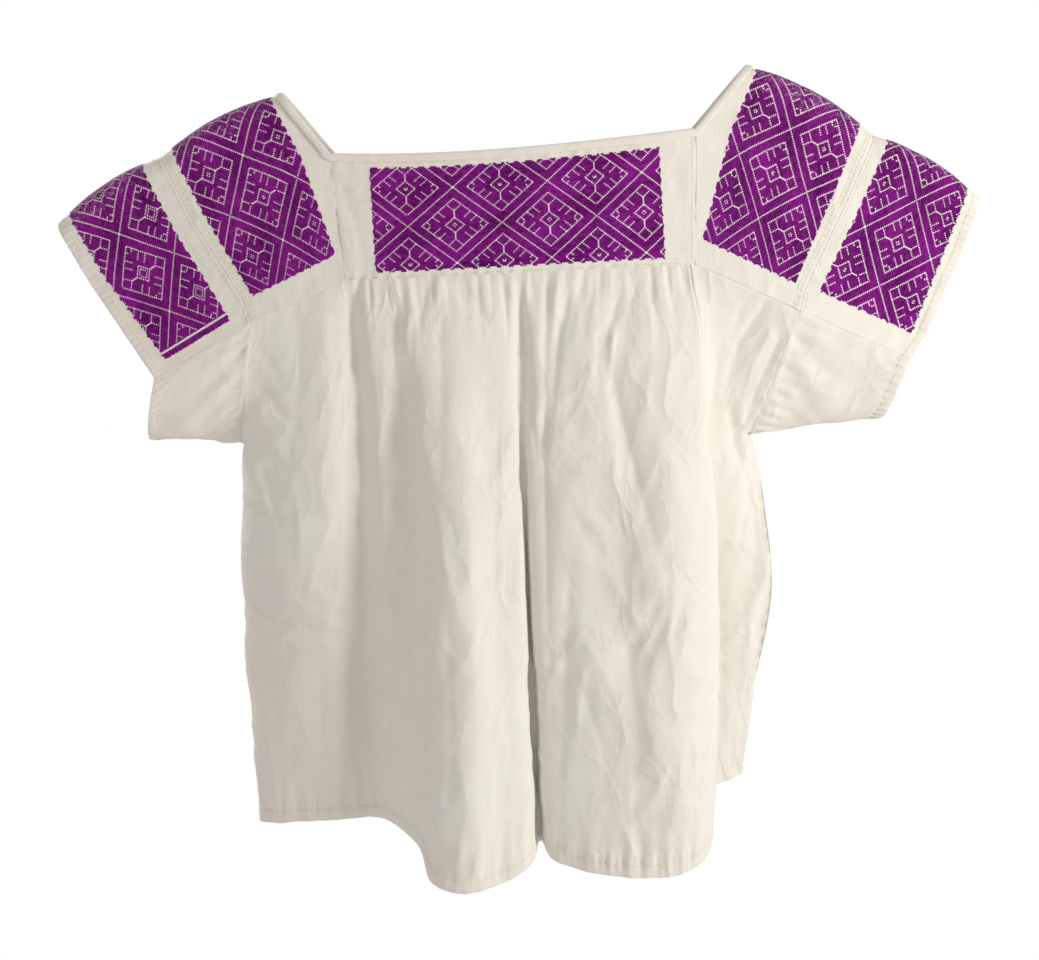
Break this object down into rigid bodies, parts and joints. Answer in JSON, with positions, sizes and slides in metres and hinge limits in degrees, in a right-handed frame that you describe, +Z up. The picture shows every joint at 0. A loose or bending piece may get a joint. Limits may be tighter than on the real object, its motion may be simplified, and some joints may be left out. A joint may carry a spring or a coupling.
{
  "type": "embroidered blouse",
  "caption": "Short-sleeved square-necked cotton blouse, hollow and hanging, gathered below embroidered yokes, with embroidered shoulders and sleeves.",
  "frame": {"origin": "the middle of the neck opening, at the height where the shoulders rest at each side of the neck", "axes": "+X to the viewer's right along the shoulders, +Y from the front of the blouse to its back, +Z up"},
  "size_m": [0.7484, 0.2006, 0.6561],
  "materials": {
    "cotton_cloth": "matt plain-weave cotton muslin, off-white",
    "embroidery": "low-sheen deep purple cotton thread in counted running stitch",
    "neck_binding": "matt folded cotton tape, off-white"
  },
  "bodies": {
    "root": {"front_body": "cotton_cloth", "back_body": "cotton_cloth", "front_yoke": "cotton_cloth", "back_yoke": "cotton_cloth", "left_shoulder": "cotton_cloth", "left_sleeve": "cotton_cloth", "right_shoulder": "cotton_cloth", "right_sleeve": "cotton_cloth", "left_underarm": "cotton_cloth", "right_underarm": "cotton_cloth", "front_yoke_embroidery": "embroidery", "back_yoke_embroidery": "embroidery", "left_shoulder_embroidery": "embroidery", "left_sleeve_embroidery": "embroidery", "right_shoulder_embroidery": "embroidery", "right_sleeve_embroidery": "embroidery", "neck_binding": "neck_binding"}
  },
  "joints": []
}
